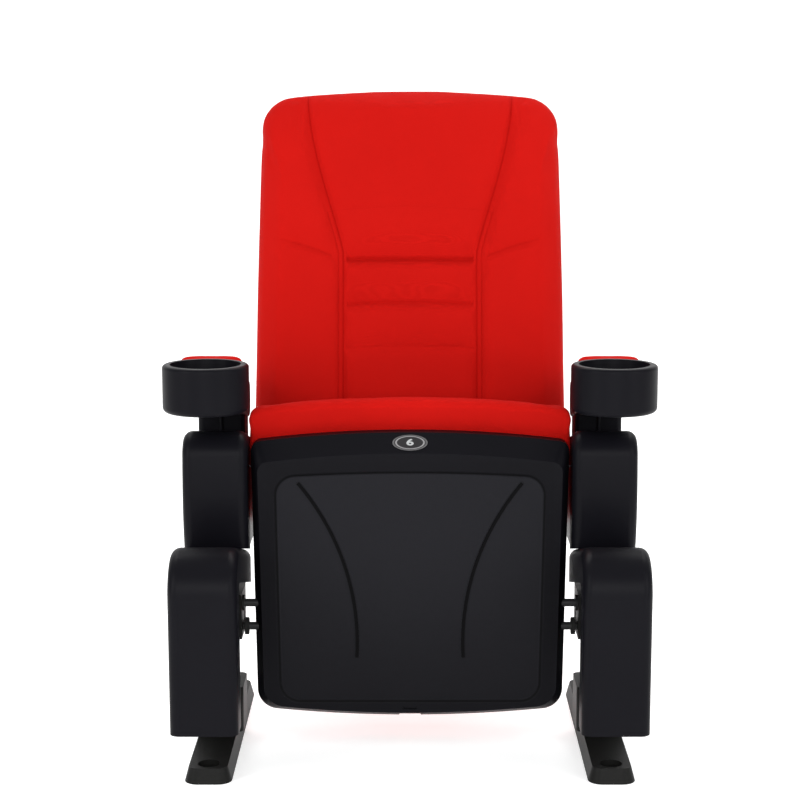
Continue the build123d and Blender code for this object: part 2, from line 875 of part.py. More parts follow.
# Seat hinge, one set on each side
nut_start = bracket_reach - bracket_sheet - nut_gap - nut_thickness
rod_start = nut_start - rod_end_past_nut
pin_head_start = plate_reach + spring_length + 2 * spring_play
for side, x in standards.items():
    sign = inward_sign(x)
    with BuildPart() as hinge_bracket:
        with BuildSketch(seat_plane(bracket_front_y)):
            low, high = bracket_bottom_z, bracket_top_z
            outline = (
                (half_column, low - bracket_foot),
                (half_column + bracket_sheet, low - bracket_foot),
                (half_column + bracket_sheet, low),
                (bracket_reach, low),
                (bracket_reach, high),
                (half_column + bracket_sheet, high),
                (half_column + bracket_sheet, high + bracket_foot),
                (half_column, high + bracket_foot),
                (half_column, high - bracket_sheet),
                (bracket_reach - bracket_sheet, high - bracket_sheet),
                (bracket_reach - bracket_sheet, low + bracket_sheet),
                (half_column, low + bracket_sheet),
            )
            with BuildLine():
                Polyline(*[(x + sign * reach, z) for reach, z in outline], close=True)
            make_face()
        extrude(amount=-bracket_depth)
        rod(x, pivot_y, pivot_z, bush_radius + press_clearance,
            bracket_reach - bracket_sheet - overcut, bracket_reach + overcut, Mode.SUBTRACT)
        with BuildSketch(side_plane(x + sign * bracket_reach)):
            with BuildLine(mode=Mode.PRIVATE):
                sweep_path = CenterArc((pivot_y, pivot_z), stop_radius, -90, seat_swing)
            SlotArc(sweep_path, 2 * (rod_radius + slide_clearance))
        extrude(amount=-sign * (bracket_sheet + overcut), mode=Mode.SUBTRACT)
        for z in bracket_bolt_z:
            rod(x, bracket_bolt_y, z, bolt_radius + press_clearance,
                half_column, half_column + bracket_sheet, Mode.SUBTRACT)
    save(hinge_bracket.part, f"hinge_bracket_{side}")

    with BuildPart() as pivot_bush:
        ring(x, pivot_y, pivot_z, bush_radius, rod_radius + rod_clearance,
             bracket_reach - bracket_sheet, bracket_reach)
        ring(x, pivot_y, pivot_z, bush_flange_radius, rod_radius + rod_clearance,
             bracket_reach, bracket_reach + bush_flange)
    save(pivot_bush.part, f"pivot_bush_{side}")

    with BuildPart() as pivot_pin:
        rod(x, pivot_y, pivot_z, rod_radius, rod_start, pin_head_start)
        rod(x, pivot_y, pivot_z, rod_head_radius, pin_head_start, pin_head_start + rod_head)
    save(pivot_pin.part, f"pivot_pin_{side}")

    with BuildPart() as stop_pin:
        rod(x, pivot_y, pivot_z - stop_radius, rod_radius, rod_start, plate_reach)
        rod(x, pivot_y, pivot_z - stop_radius, rod_head_radius, plate_reach, plate_reach + rod_head)
    save(stop_pin.part, f"stop_pin_{side}")

    with BuildPart() as hinge_plate:
        plate_low_y = pan_y + pan_floor + hinge_floor_gap
        with BuildSketch(Plane.XY.offset(hinge_plate_bottom_z)):
            with BuildLine():
                Polyline(
                    (x + sign * plate_reach, plate_low_y),
                    (x + sign * (plate_reach - hinge_plate_sheet), plate_low_y),
                    (x + sign * (plate_reach - hinge_plate_sheet), board_y),
                    (x + sign * (plate_reach + hinge_foot), board_y),
                    (x + sign * (plate_reach + hinge_foot), board_y - hinge_foot_sheet),
                    (x + sign * plate_reach, board_y - hinge_foot_sheet),
                    close=True,
                )
            make_face()
        extrude(amount=hinge_plate_top_z - hinge_plate_bottom_z)
        for z in (pivot_z, pivot_z - stop_radius):
            rod(x, pivot_y, z, rod_radius + press_clearance,
                plate_reach - hinge_plate_sheet, plate_reach, Mode.SUBTRACT)
        with BuildSketch(seat_plane(board_y)):
            with Locations(*[(-sign * hinge_screw_x, z) for z in hinge_screw_z]):
                Circle(screw_radius + press_clearance)
        extrude(amount=hinge_foot_sheet, mode=Mode.SUBTRACT)
    save(hinge_plate.part, f"hinge_plate_{side}")

    with BuildPart() as return_spring:
        coil_radius = rod_radius + spring_wire_radius + spring_play
        spring_x = x + sign * (plate_reach + spring_play + spring_wire_radius)
        coil_length = spring_length - 2 * spring_wire_radius
        with BuildLine():
            coil = Helix(
                coil_length / spring_turns,
                coil_length,
                coil_radius,
                center=(spring_x, pivot_y, pivot_z),
                direction=(sign, 0, 0),
            )
        with BuildSketch(Plane(origin=coil @ 0, z_dir=coil % 0)):
            Circle(spring_wire_radius)
        sweep()
    save(return_spring.part, f"return_spring_{side}")

with BuildPart() as hinge_nuts:
    for x in standards.values():
        sign = inward_sign(x)
        with BuildSketch(side_plane(x + sign * nut_start)):
            with Locations((pivot_y, pivot_z), (pivot_y, pivot_z - stop_radius)):
                RegularPolygon(nut_width / 2, 6, major_radius=False)
                Circle(rod_radius + press_clearance, mode=Mode.SUBTRACT)
        extrude(amount=sign * nut_thickness)
save(hinge_nuts.part, "hinge_nuts")

with BuildPart() as stop_washers:
    for x in standards.values():
        ring(x, pivot_y, pivot_z - stop_radius, washer_radius, rod_radius + press_clearance,
             bracket_reach + washer_gap, bracket_reach + washer_gap + washer_thickness)
save(stop_washers.part, "stop_washers")

with BuildPart() as hinge_screws:
    with BuildSketch(seat_plane(board_y - hinge_foot_sheet)):
        with Locations(*hinge_screws_at):
            Circle(screw_radius)
    extrude(amount=-screw_length)
    with BuildSketch(seat_plane(board_y - hinge_foot_sheet)):
        with Locations(*hinge_screws_at):
            Circle(screw_head_radius)
    extrude(amount=screw_head)
save(hinge_screws.part, "hinge_screws")

with BuildPart() as bracket_bolts:
    for x in standards.values():
        for z in bracket_bolt_z:
            rod(x, bracket_bolt_y, z, bolt_radius, half_column - bolt_grip, half_column + bracket_sheet)
            rod(x, bracket_bolt_y, z, bolt_head_radius,
                half_column + bracket_sheet, half_column + bracket_sheet + bolt_head)
        for y in column_bolt_y:
            rod(x, y, column_bolt_z, bolt_radius, half_column - bolt_grip, half_column + bracket_sheet_back)
            rod(x, y, column_bolt_z, bolt_head_radius,
                half_column + bracket_sheet_back, half_column + bracket_sheet_back + bolt_head)
save(bracket_bolts.part, "bracket_bolts")


# Back: shell behind, board and rails inside, cushion in front, all in the reclined plane
def back_outline(sketch, inset, corner_inset):
    half, half_low = back_half - inset, back_bottom_half - inset
    top, bottom = back_length - inset, inset
    with BuildLine() as outline:
        ThreePointArc((-half, top - back_top_sag), (0, top), (half, top - back_top_sag))
        Polyline(
            (half, top - back_top_sag),
            (half, back_taper_length),
            (half_low, bottom),
            (-half_low, bottom),
            (-half, back_taper_length),
            (-half, top - back_top_sag),
        )
    make_face(outline.edges())
    fillet(sketch.vertices().group_by(Axis.Y)[-1], back_top_corner - corner_inset)
    fillet(sketch.vertices().group_by(Axis.Y)[0], back_bottom_corner - corner_inset)


with BuildPart() as back_cushion:
    cushion_sections = (
        (soft_gap, back_base_inset),
        (back_cushion_thickness * back_swell_share, 0),
        (back_cushion_thickness, back_top_inset),
    )
    for level, inset in cushion_sections:
        with BuildSketch(back_plane.offset(level)) as section_sketch:
            back_outline(section_sketch, inset, 0)
    loft()
    crown_axis = back_plane.offset(back_cushion_thickness - back_crown_radius)
    crown_base = Plane(
        origin=crown_axis.origin,
        x_dir=(1, 0, 0),
        z_dir=back_plane.y_dir,
    )
    with BuildSketch(crown_base):
        Circle(back_crown_radius)
    extrude(amount=2 * back_length, both=True, mode=Mode.INTERSECT)
    front_face = back_cushion.faces().sort_by(Axis(back_plane.origin, back_plane.z_dir))[-1]
    fillet(front_face.edges(), back_top_inset / 2)

with BuildPart() as seam_cutter:
    for hand in (-1, 1):
        with BuildSketch(back_plane):
            with BuildLine():
                ThreePointArc(
                    (hand * seam_top_x, back_length),
                    (hand * seam_mid_x, seam_mid),
                    (hand * seam_low_x, seam_bend),
                )
                Line((hand * seam_low_x, seam_bend), (hand * seam_low_x, 0))
            trace(line_width=seam_width)
        extrude(amount=back_cushion_thickness + seam_depth, both=True)
    with BuildSketch(crown_base):
        Circle(back_crown_radius - seam_depth)
    extrude(amount=2 * back_length, both=True, mode=Mode.SUBTRACT)

with BuildPart() as channel_cutter:
    for height in channel_heights:
        channel_plane = Plane(
            origin=crown_axis.from_local_coords(Vector(0, height, 0)),
            x_dir=(1, 0, 0),
            z_dir=back_plane.y_dir,
        )
        half_turn = degrees(seam_low_x / back_crown_radius)
        start_dir = Vector(channel_plane.x_dir).rotate(
            Axis((0, 0, 0), tuple(back_plane.y_dir)), -90 - half_turn
        )
        groove = Plane(
            origin=channel_plane.origin,
            x_dir=start_dir,
            z_dir=start_dir.cross(Vector(back_plane.y_dir)),
        )
        with BuildSketch(groove):
            with Locations((back_crown_radius + channel_sink, 0)):
                Circle(channel_radius)
        revolve(axis=Axis(channel_plane.origin, back_plane.y_dir), revolution_arc=2 * half_turn)

with BuildPart() as channelled_back:
    add(back_cushion.part)
    add(seam_cutter.part, mode=Mode.SUBTRACT)
    add(channel_cutter.part, mode=Mode.SUBTRACT)
save(channelled_back.part, "back_cushion")

with BuildPart() as back_board:
    with BuildSketch(back_plane) as board_face:
        back_outline(board_face, shell_inset + shell_wall + board_gap, shell_wall + board_gap)
    extrude(amount=-board_thickness)
save(back_board.part, "back_board")

shell_step = board_thickness + board_gap
rail_reach = standard_spacing / 2 - rail_side_x
nut_face = rail_reach + rail_sheet
with BuildPart() as back_shell:
    with BuildSketch(back_plane) as shell_rim:
        back_outline(shell_rim, shell_inset, 0)
    extrude(amount=-shell_step)
    with BuildSketch(back_plane.offset(-shell_step)) as shell_waist:
        back_outline(shell_waist, shell_inset, 0)
    with BuildSketch(back_plane.offset(-shell_depth)) as shell_back:
        back_outline(shell_back, shell_inset + shell_rear_inset, 0)
    loft(ruled=True)
    fillet(back_shell.faces().sort_by(Axis(back_plane.origin, back_plane.z_dir))[0].edges(), shell_round)
    with BuildSketch(back_plane) as hollow_rim:
        back_outline(hollow_rim, shell_inset + shell_wall, shell_wall)
    extrude(amount=-shell_step, mode=Mode.SUBTRACT)
    with BuildSketch(back_plane.offset(-shell_step)) as hollow_waist:
        back_outline(hollow_waist, shell_inset + shell_wall, shell_wall)
    with BuildSketch(back_plane.offset(shell_wall - shell_depth)) as hollow_back:
        back_outline(hollow_back, shell_inset + shell_rear_inset + shell_wall, shell_wall)
    loft(ruled=True, mode=Mode.SUBTRACT)
    for x in standards.values():
        for y, z in back_bolts_yz:
            rod(x, y, z, spacer_radius + hole_clearance, bracket_reach, rail_reach, Mode.SUBTRACT)
save(back_shell.part, "back_shell")

rail_base = Plane(
    origin=back_plane.from_local_coords(Vector(0, rail_bottom, -board_thickness)),
    x_dir=(1, 0, 0),
    z_dir=back_plane.y_dir,
)
bracket_inner = half_column + bracket_sheet_back
for side, x in standards.items():
    sign = inward_sign(x)
    with BuildPart() as back_rail:
        with BuildSketch(rail_base):
            with BuildLine():
                outer = -sign * rail_side_x
                Polyline(
                    (outer, 0),
                    (outer, rail_depth),
                    (outer + sign * rail_sheet, rail_depth),
                    (outer + sign * rail_sheet, rail_sheet),
                    (outer + sign * rail_width, rail_sheet),
                    (outer + sign * rail_width, 0),
                    close=True,
                )
            make_face()
        extrude(amount=rail_length)
        for y, z in back_bolts_yz:
            rod(x, y, z, back_bolt_radius + press_clearance, rail_reach, nut_face, Mode.SUBTRACT)
    save(back_rail.part, f"back_rail_{side}")

    with BuildPart() as back_bracket:
        with BuildSketch(side_plane(x + sign * half_column)):
            back_bracket_outline(0)
        extrude(amount=sign * bracket_sheet_back)
        for y, z in back_bolts_yz:
            rod(x, y, z, back_bolt_radius + press_clearance, half_column, bracket_inner, Mode.SUBTRACT)
        for y, z in column_bolts_yz:
            rod(x, y, z, bolt_radius + press_clearance, half_column, bracket_inner, Mode.SUBTRACT)
    save(back_bracket.part, f"back_bracket_{side}")

with BuildPart() as back_spacers:
    for x in standards.values():
        for y, z in back_bolts_yz:
            ring(x, y, z, spacer_radius, back_bolt_radius + press_clearance, bracket_inner, rail_reach)
save(back_spacers.part, "back_spacers")

with BuildPart() as back_bolts:
    for x in standards.values():
        for y, z in back_bolts_yz:
            rod(x, y, z, back_bolt_radius, half_column, nut_face + back_nut)
            rod(x, y, z, back_bolt_head_radius, half_column - back_bolt_head, half_column)
save(back_bolts.part, "back_bolts")

with BuildPart() as back_nuts:
    for x in standards.values():
        for y, z in back_bolts_yz:
            ring(x, y, z, back_bolt_head_radius, back_bolt_radius + press_clearance,
                 nut_face, nut_face + back_nut)
save(back_nuts.part, "back_nuts")
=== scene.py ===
# %% [markdown]
# # A tip-up theater chair
# The hard pieces of this chair, from its feet to its cup holders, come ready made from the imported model.
# This file adds what is soft, gives every piece its finish, and sets up the studio.
# All sizes are in metres. +Z is up and the sitter faces -Y.

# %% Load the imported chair
import json
import math

import bmesh
import bpy
import numpy as np
from mathutils import Matrix, Vector, noise


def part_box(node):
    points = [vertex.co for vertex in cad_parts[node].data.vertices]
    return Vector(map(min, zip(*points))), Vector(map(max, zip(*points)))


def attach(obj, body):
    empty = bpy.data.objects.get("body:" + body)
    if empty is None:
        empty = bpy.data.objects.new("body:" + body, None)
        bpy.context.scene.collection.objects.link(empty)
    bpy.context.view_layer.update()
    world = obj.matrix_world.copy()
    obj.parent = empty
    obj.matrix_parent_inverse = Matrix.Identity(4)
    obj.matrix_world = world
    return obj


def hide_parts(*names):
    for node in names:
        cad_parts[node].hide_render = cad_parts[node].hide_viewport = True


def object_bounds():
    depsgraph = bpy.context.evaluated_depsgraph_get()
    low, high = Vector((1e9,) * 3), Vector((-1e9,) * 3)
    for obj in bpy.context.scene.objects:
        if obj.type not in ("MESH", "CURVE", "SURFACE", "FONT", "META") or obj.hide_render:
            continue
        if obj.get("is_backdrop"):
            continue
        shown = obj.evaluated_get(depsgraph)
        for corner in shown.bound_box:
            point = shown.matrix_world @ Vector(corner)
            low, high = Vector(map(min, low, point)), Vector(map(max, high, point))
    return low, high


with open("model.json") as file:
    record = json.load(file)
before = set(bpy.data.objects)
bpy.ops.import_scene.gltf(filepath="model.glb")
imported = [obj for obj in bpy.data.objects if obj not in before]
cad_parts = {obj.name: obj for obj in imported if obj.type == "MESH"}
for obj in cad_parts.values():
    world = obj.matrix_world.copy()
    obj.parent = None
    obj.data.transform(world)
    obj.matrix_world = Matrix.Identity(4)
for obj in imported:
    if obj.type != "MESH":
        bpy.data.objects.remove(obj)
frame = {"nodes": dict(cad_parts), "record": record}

cad_low, cad_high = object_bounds()
print("pieces from the packed model:", len(frame["nodes"]))

# %% [markdown]
# ## Camera
# The photograph was taken from straight in front, at about the height of the chair's top, with a long
# lens. The lens could be set by trial. Here it follows from the focal length in pixels that fits the
# picture, and the small shift puts the chair's middle line where the photograph has it.

# %% Camera
image_size = 800
focal_length_pixels = 1950
middle_line_pixel = 410
sensor_width = 36
camera_place = (0, -2.96, 0.98)
camera_tilt = math.radians(9)

lens = bpy.data.cameras.new("studio_camera")
lens.sensor_width = sensor_width
lens.lens = focal_length_pixels * sensor_width / image_size
lens.shift_x = (image_size / 2 - middle_line_pixel) / image_size
camera = bpy.data.objects.new("studio_camera", lens)
camera.location = camera_place
camera.rotation_euler = (math.pi / 2 - camera_tilt, 0, 0)
bpy.context.scene.collection.objects.link(camera)
bpy.context.scene.camera = camera
print("lens", round(lens.lens, 2), "mm")

# %% [markdown]
# ## Shader sums
# A finish is a small network of nodes. Wiring it by hand hides the arithmetic, so a thin class lets a
# socket stand in a Python sum, and one method adds any other node.

# %% Sockets in sums
class Wire:
    """An output of a node, which can be used in a Python sum."""

    def __init__(self, finish, socket):
        self.finish = finish
        self.socket = socket

    def sum(self, operation, *terms):
        return self.finish.node("ShaderNodeMath", {"operation": operation}, dict(enumerate(terms)))

    def __add__(self, other):
        return self.sum("ADD", self, other)

    def __sub__(self, other):
        return self.sum("SUBTRACT", self, other)

    def __rsub__(self, other):
        return self.sum("SUBTRACT", other, self)

    def __mul__(self, other):
        return self.sum("MULTIPLY", self, other)

    def __truediv__(self, other):
        return self.sum("DIVIDE", self, other)

    def __lt__(self, other):
        return self.sum("LESS_THAN", self, other)

    def __abs__(self):
        return self.sum("ABSOLUTE", self)

    __radd__ = __add__
    __rmul__ = __mul__

    def sine(self):
        return self.sum("SINE", self)

    def root(self):
        return self.sum("SQRT", self)


print("sums of sockets ready")

# %% The finish that holds them
class Finish:
    """A material with one shader, and the nodes that vary it over the surface."""

    def __init__(self, name, constants):
        self.material = bpy.data.materials.new(name)
        self.material.use_nodes = True
        self.nodes = self.material.node_tree.nodes
        self.links = self.material.node_tree.links
        self.shader = self.nodes["Principled BSDF"]
        for socket, value in constants.items():
            self.shader.inputs[socket].default_value = value
        self.place = self.node("ShaderNodeTexCoord", output="Object")

    def node(self, kind, settings=None, sockets=None, output=0):
        made = self.nodes.new(kind)
        for name, value in (settings or {}).items():
            setattr(made, name, value)
        for socket, value in (sockets or {}).items():
            if isinstance(value, Wire):
                self.links.new(value.socket, made.inputs[socket])
            else:
                made.inputs[socket].default_value = value
        return Wire(self, made.outputs[output])

    def feed(self, socket, wire):
        self.links.new(wire.socket, self.shader.inputs[socket])

    def cloud(self, scale, detail=2.0):
        """Soft random patches, from 0 to 1."""
        return self.node("ShaderNodeTexNoise", None, {"Vector": self.place, "Scale": scale, "Detail": detail})

    def cells(self, scale):
        """Distance to the nearest of many scattered points."""
        return self.node("ShaderNodeTexVoronoi", None, {"Vector": self.place, "Scale": scale})

    def axes(self):
        """The three coordinates of a point on the piece, as the chair stands at rest."""
        split = self.node("ShaderNodeSeparateXYZ", None, {"Vector": self.place})
        return [Wire(self, socket) for socket in split.socket.node.outputs]

    def measure(self, name):
        """A number stored on the mesh's points."""
        return self.node("ShaderNodeAttribute", {"attribute_name": name}, None, "Fac")

    def ease(self, value, low, high, first, last):
        """first up to low, last from high on, and an even curve between."""
        settings = {"interpolation_type": "SMOOTHSTEP"}
        limits = {"Value": value, "From Min": low, "From Max": high, "To Min": first, "To Max": last}
        return self.node("ShaderNodeMapRange", settings, limits)

    def within(self, distance, width):
        """1 on a line, falling to 0 at that width from it."""
        return self.ease(abs(distance), 0.0, width, 1.0, 0.0)

    def climb(self, value, low, high):
        """0 up to low and 1 from high on."""
        return self.ease(value, low, high, 0.0, 1.0)

    def tint(self, mask, first, second):
        return self.node("ShaderNodeMix", {"data_type": "RGBA"}, {0: mask, 6: first, 7: second}, 2)

    def relief(self, height, depth):
        """Bumps as deep as the given number of metres."""
        self.feed("Normal", self.node("ShaderNodeBump", None, {"Distance": depth, "Height": height}))


print("shader helpers ready")

# %% [markdown]
# ## Red upholstery
# The cover is a close, matte cloth with a short nap, so it shows almost no highlight. A thread pattern
# could come from a picture of cloth. Sine waves along the three axes give the same crossing threads on
# any side of a cushion without one. Sewn lines are stored on the cushions' points as a distance in
# metres, and painted shade darkens the cloth where that distance is small: the shade that falls in the
# seams, stitch rows, channels and creases.

# %% Red upholstery
thread_pitch = 0.0009
nap_scale = 420.0
mottle_scale = 7.0
cloth_dark = (0.43, 0.0052, 0.0034, 1)
cloth_light = (0.55, 0.0082, 0.0056, 1)
cloth_seam_shade = (0.32, 0.0018, 0.0009, 1)
cloth_relief = 0.0006
seam_line_width = 0.0024
tuck_line_width = 0.0066
second_row_strength = 0.65
tuck_strength = 0.8
seam_shade_share = 0.75
stitch_row_offset = 0.0075
no_seam_near = 1.0


def red_upholstery():
    cloth = Finish("red_upholstery", {"Specular IOR Level": 0.04})
    x, y, z = cloth.axes()
    turns = 2 * math.pi / thread_pitch
    across, deep, up = (x * turns).sine(), (y * turns).sine(), (z * turns).sine()
    weave = across * up + across * deep + deep * up
    nap = cloth.cloud(nap_scale, 3.0)
    mottle = cloth.cloud(mottle_scale, 4.0)
    # The seam, stitch row and crease lines are painted shade: the cloth is darkened where shade falls in
    # them.
    seam = cloth.within(cloth.measure("seam_gap"), seam_line_width)
    second_row = cloth.within(cloth.measure("row_gap"), seam_line_width) * second_row_strength
    tuck = cloth.within(cloth.measure("tuck_gap"), tuck_line_width) * tuck_strength
    seam_shade = seam + second_row + tuck
    shade = mottle * 0.55 + nap * 0.35 + weave * 0.03
    dyed = cloth.tint(shade, cloth_dark, cloth_light)
    cloth.feed("Base Color", cloth.tint(seam_shade * seam_shade_share, dyed, cloth_seam_shade))
    cloth.feed("Roughness", 0.72 + nap * 0.2)
    cloth.relief(weave * 0.16 + nap * 0.5 - seam_shade * 0.7, cloth_relief)
    return cloth.material


upholstery = red_upholstery()
print("made", upholstery.name)

# %% [markdown]
# ## Hard finishes
# The covers and arms are black moulded plastic with a fine grain and a satin gloss. The feet and brackets
# are powder coated, which leaves a slight orange peel. Fixings are zinc plated or blackened. Each one is
# one colour pair, one range of gloss and one relief, so one helper makes them all.

# %% Hard finishes
patch_scale = 11.0


def hard_finish(name, dark, light, gloss, grain, depth, metallic=0.0, specular=0.5):
    """dark and light are the two ends of the colour, gloss the range of roughness, grain its size."""
    finish = Finish(name, {"Metallic": metallic, "Specular IOR Level": specular})
    patches = finish.cloud(patch_scale, 5.0)
    fine = finish.cloud(1 / grain, 2.0)
    finish.feed("Base Color", finish.tint(patches * 0.7 + fine * 0.3, (*dark, 1), (*light, 1)))
    low, high = gloss
    finish.feed("Roughness", low + (patches * 0.6 + fine * 0.4) * (high - low))
    finish.relief(finish.cells(1 / grain) + fine * 0.5, depth)
    return finish.material


black_plastic = hard_finish(
    "black_plastic", dark=(0.0032, 0.0031, 0.0046), light=(0.005, 0.0048, 0.0068),
    gloss=(0.34, 0.46), grain=0.0011, depth=0.00005, specular=0.06,
)
powder_coat = hard_finish(
    "powder_coat", dark=(0.005, 0.005, 0.0047), light=(0.009, 0.009, 0.0085),
    gloss=(0.4, 0.55), grain=0.0022, depth=0.0001, specular=0.1,
)
zinc = hard_finish(
    "zinc", dark=(0.42, 0.42, 0.41), light=(0.6, 0.6, 0.58),
    gloss=(0.28, 0.45), grain=0.0015, depth=0.00003, metallic=1.0,
)
blackened = hard_finish(
    "blackened_steel", dark=(0.008, 0.008, 0.0085), light=(0.02, 0.02, 0.021),
    gloss=(0.4, 0.55), grain=0.0015, depth=0.00003, specular=0.3,
)
rubber = hard_finish(
    "rubber", dark=(0.007, 0.007, 0.007), light=(0.012, 0.012, 0.0115),
    gloss=(0.7, 0.85), grain=0.0012, depth=0.00008, specular=0.2,
)
nylon = hard_finish(
    "nylon", dark=(0.006, 0.006, 0.006), light=(0.01, 0.01, 0.0095),
    gloss=(0.45, 0.55), grain=0.0016, depth=0.00003, specular=0.2,
)
print("made", len(bpy.data.materials), "materials so far")

# %% [markdown]
# ## Seat pan and plywood
# The pan is the same black plastic, but its sunk panel has a coarser and paler grain. A painted reflection
# makes the panel paler towards the top, and painted shade draws a dark line round it, on the step down to
# the panel. The panel could be painted as a separate piece. Here a point's depth below the rim says where
# it is, so the painted shade follows the moulded slope. The boards under the cushions are bare plywood.

# %% Seat pan finish
pan_rim_y = -0.120
panel_face_y = -0.117
panel_reach_x = 0.214
panel_reach_low = 0.057
panel_reach_high = 0.437
panel_sunk_from = 0.55
panel_sunk_to = 0.95
border_sunk = 0.45
border_width = 0.55
painted_reflection_from_z = 0.03
painted_reflection_to_z = 0.3
rim_dark = (0.0032, 0.0031, 0.0044, 1)
rim_light = (0.005, 0.0048, 0.0066, 1)
panel_dark = (0.0040, 0.0039, 0.0052, 1)
panel_light = (0.0115, 0.0114, 0.0140, 1)
painted_border_shade = (0.0004, 0.0004, 0.0006, 1)
pan_grain_scale = 900.0
pan_relief = 0.00008


def grained_pan():
    pan = Finish("pan_plastic", {"Specular IOR Level": 0.06})
    x, y, z = pan.axes()
    round_panel = (abs(x) < panel_reach_x) * (z < panel_reach_high) * (panel_reach_low - z < 0)
    sunk = pan.climb(y, pan_rim_y, panel_face_y)
    panel = pan.climb(sunk, panel_sunk_from, panel_sunk_to) * round_panel
    # Painted shade: a dark line on the step round the sunk panel.
    border_shade_mask = pan.within(sunk - border_sunk, border_width) * round_panel
    patches = pan.cloud(5.0, 5.0)
    grain = pan.cells(pan_grain_scale)
    shade = patches * 0.5 + grain * 0.3
    # Painted reflection: the panel is made paler towards the top, mixed with its random grain tone.
    grain_and_painted_reflection = shade * 0.6 + pan.climb(z, painted_reflection_from_z, painted_reflection_to_z) * 0.6
    smooth = pan.tint(shade, rim_dark, rim_light)
    rough = pan.tint(grain_and_painted_reflection, panel_dark, panel_light)
    faces = pan.tint(panel, smooth, rough)
    pan.feed("Base Color", pan.tint(border_shade_mask * 0.9, faces, painted_border_shade))
    pan.feed("Roughness", 0.36 + patches * 0.1 + panel * 0.12 + border_shade_mask * 0.2)
    pan.relief(grain * (0.4 + panel * 0.6), pan_relief)
    return pan.material


pan_plastic = grained_pan()
print("made", pan_plastic.name)

# %% Plywood
ply_turns = 900
ply_waver = 9
ply_relief = 0.0002


def plywood():
    wood = Finish("plywood", {"Specular IOR Level": 0.3})
    height = wood.axes()[2]
    rings = (height * ply_turns + wood.cloud(18.0, 4.0) * ply_waver).sine() * 0.5 + 0.5
    wood.feed("Base Color", wood.tint(rings, (0.36, 0.22, 0.11, 1), (0.56, 0.38, 0.2, 1)))
    wood.feed("Roughness", 0.6 + rings * 0.2)
    wood.relief(rings, ply_relief)
    return wood.material


timber = plywood()
print("made", timber.name)

# %% [markdown]
# ## The number plate
# A small oval plate on the front of the seat carries a pale ring and a plain seat number. The rings could
# be modelled as thin wire, but on the real plate they are printed, so they are drawn by the finish: a
# point's share of the way from the plate's middle to its rim says which ring it is in.

# %% Number plate finish
plate_low, plate_high = (Vector(corner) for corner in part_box("number_plate"))
plate_middle = (plate_low + plate_high) / 2
plate_size = plate_high - plate_low
plate_half_length = plate_size.x / 2
plate_half_height = 0.013
plate_normal = Vector((0, -0.028, 0.022)).normalized()
plate_up = plate_normal.cross(Vector((1, 0, 0)))
rim_share = 1.0
rim_width = 0.14
ring_share = 0.8
ring_width = 0.08
plate_relief = 0.0001


def oval_plate():
    plate = Finish("plate", {"Specular IOR Level": 0.15})
    x, y, z = plate.axes()
    along = (x - plate_middle.x) / plate_half_length
    lift = (y - plate_middle.y) * plate_up.y + (z - plate_middle.z) * plate_up.z
    across = lift / plate_half_height
    share = (along * along + across * across).root()
    rim = plate.within(share - rim_share, rim_width)
    ring = plate.within(share - ring_share, ring_width)
    worn = plate.cloud(160.0, 3.0)
    ground = plate.tint(worn, (0.016, 0.015, 0.016, 1), (0.026, 0.025, 0.026, 1))
    rimmed = plate.tint(rim, ground, (0.12, 0.118, 0.12, 1))
    plate.feed("Base Color", plate.tint(ring, rimmed, (0.26, 0.255, 0.26, 1)))
    plate.feed("Roughness", 0.28 + worn * 0.15)
    plate.relief(worn * 0.3 + ring + rim, plate_relief)
    return plate.material


plate_paint = oval_plate()
print("plate", [round(side, 3) for side in plate_size])

# %% [markdown]
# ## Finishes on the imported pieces
# The record names a material slot for each piece, so the finishes are handed out by slot. Two pieces then
# get another one: the bracket bolts are blackened, as they show beside the seat, and the pan has its own.

# %% Hand out the finishes
finish_of_slot = {
    "red_upholstery": upholstery,
    "black_plastic": black_plastic,
    "powder_coat": powder_coat,
    "steel": zinc,
    "blackened_steel": blackened,
    "plywood": timber,
    "rubber": rubber,
    "nylon": nylon,
    "plate": plate_paint,
}


def paint(piece, material):
    piece.data.materials.clear()
    piece.data.materials.append(material)


for entry in frame["record"]["subparts"]:
    paint(frame["nodes"][entry["node"]], finish_of_slot[entry["material_slot"]])
paint(frame["nodes"]["bracket_bolts"], blackened)
paint(frame["nodes"]["seat_pan"], pan_plastic)

# %% [markdown]
# ## Cushions
# A cushion is foam under a sewn cover: its sides swell between its edges, its face is crowned, and it is
# flat only on its board. A rounded box would look like moulded plastic. Instead a slightly small form is
# lofted from rounded outlines, remeshed into even squares, and blown up as cloth, held along its sewn
# lines and where it sits on the board.

# %% A lofted form
corner_steps = 10
side_steps = 20


def rounded_outline(half_low, half_high, low, high, radius_low, radius_high):
    """Points round a four-sided outline with rounded corners, counter-clockwise from the lower right."""
    corners = (
        (half_low - radius_low, low + radius_low, radius_low, -90),
        (half_high - radius_high, high - radius_high, radius_high, 0),
        (radius_high - half_high, high - radius_high, radius_high, 90),
        (radius_low - half_low, low + radius_low, radius_low, 180),
    )
    arcs = []
    for x, s, radius, start in corners:
        turns = [math.radians(start + 90 * step / corner_steps) for step in range(corner_steps + 1)]
        arcs.append([(x + radius * math.cos(turn), s + radius * math.sin(turn)) for turn in turns])
    points = []
    for arc, following in zip(arcs, arcs[1:] + arcs[:1]):
        points += arc
        (x, s), (next_x, next_s) = arc[-1], following[0]
        for step in range(1, side_steps):
            share = step / side_steps
            points.append((x + (next_x - x) * share, s + (next_s - s) * share))
    return points


